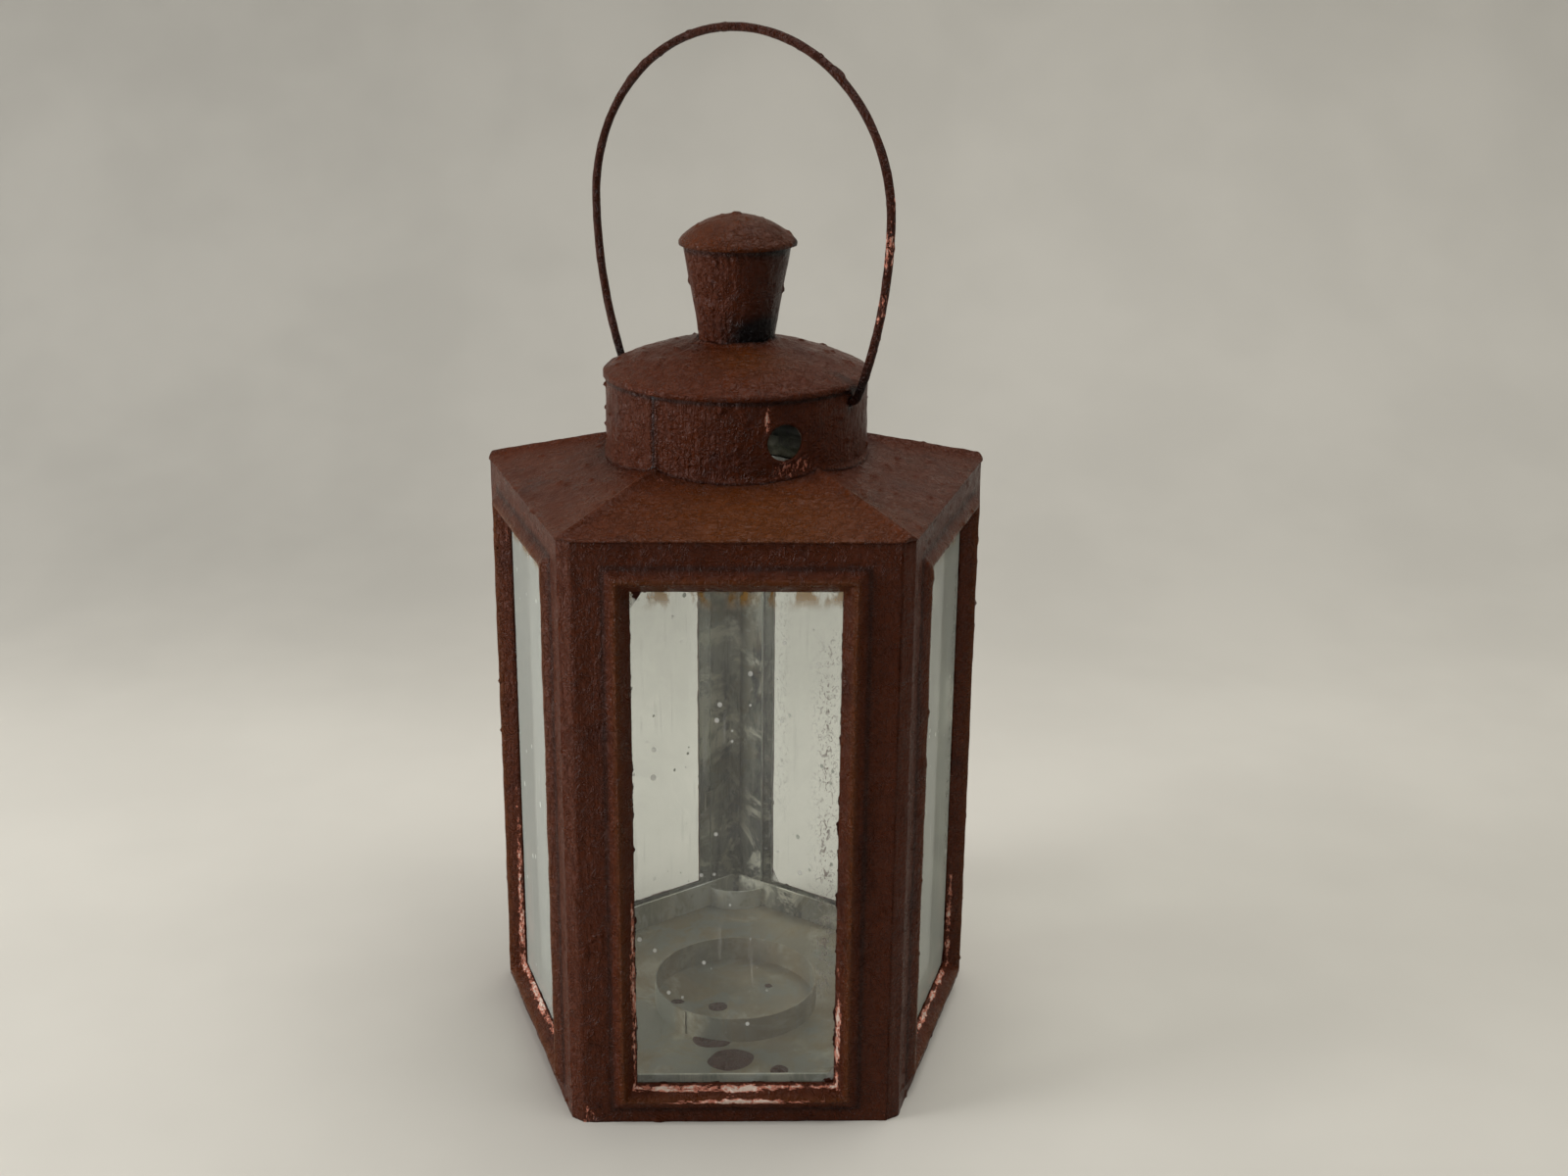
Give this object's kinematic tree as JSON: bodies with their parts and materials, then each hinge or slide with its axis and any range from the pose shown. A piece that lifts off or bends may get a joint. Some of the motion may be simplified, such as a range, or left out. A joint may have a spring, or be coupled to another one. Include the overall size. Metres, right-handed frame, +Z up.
{
  "type": "candle lantern",
  "caption": "Five-sided pressed-tin candle lantern with glazed panels, a hinged glazed door, vented collar, flared chimney and wire bail.",
  "frame": {"origin": "centre of the case at the level of the panels' bottom edges, on the surface the lantern stands on", "axes": "+Z up along the candle's axis; the front panel faces -Y; the door is the back right face"},
  "size_m": [0.1772, 0.1763, 0.359],
  "materials": {
    "brown_paint": "semi-matt hand-brushed red-brown paint",
    "painted_wire": "red-brown paint over wire, lumpy and worn",
    "bare_tin": "dull, stained",
    "old_glass": "clear, dusty and specked"
  },
  "bodies": {
    "case": {"base_tray": "bare_tin", "corner_strip": "bare_tin", "candle_ring": "bare_tin", "door_sill": "bare_tin", "door_head": "brown_paint", "roof": "brown_paint", "collar": "brown_paint", "lid": "brown_paint", "chimney": "brown_paint", "chimney_cap": "brown_paint", "hinge_leaves_case": "brown_paint", "hinge_pins": "brown_paint", "panel_front": "brown_paint", "glass_front": "old_glass", "glass_tabs_front": "bare_tin", "floor_rail_front": "bare_tin", "panel_right": "brown_paint", "glass_right": "old_glass", "glass_tabs_right": "bare_tin", "floor_rail_right": "bare_tin", "panel_back_left": "brown_paint", "glass_back_left": "old_glass", "glass_tabs_back_left": "bare_tin", "floor_rail_back_left": "bare_tin", "panel_left": "brown_paint", "glass_left": "old_glass", "glass_tabs_left": "bare_tin", "floor_rail_left": "bare_tin"},
    "door": {"door_frame": "brown_paint", "door_glass": "old_glass", "door_glass_tabs": "bare_tin", "door_pull": "brown_paint", "hinge_leaves_door": "brown_paint"},
    "bail": {"bail": "painted_wire"}
  },
  "joints": [
    {"name": "door_swing", "type": "hinge", "parent": "case", "child": "door", "pos_m": [0, 0.09555, 0.1], "axis": [0, 0, 1], "range_deg": [0, 240]},
    {"name": "bail_swing", "type": "hinge", "parent": "case", "child": "bail", "pos_m": [0, 0, 0.2404], "axis": [0.8387, -0.5446, 0], "range_deg": [-111, 118]}
  ]
}
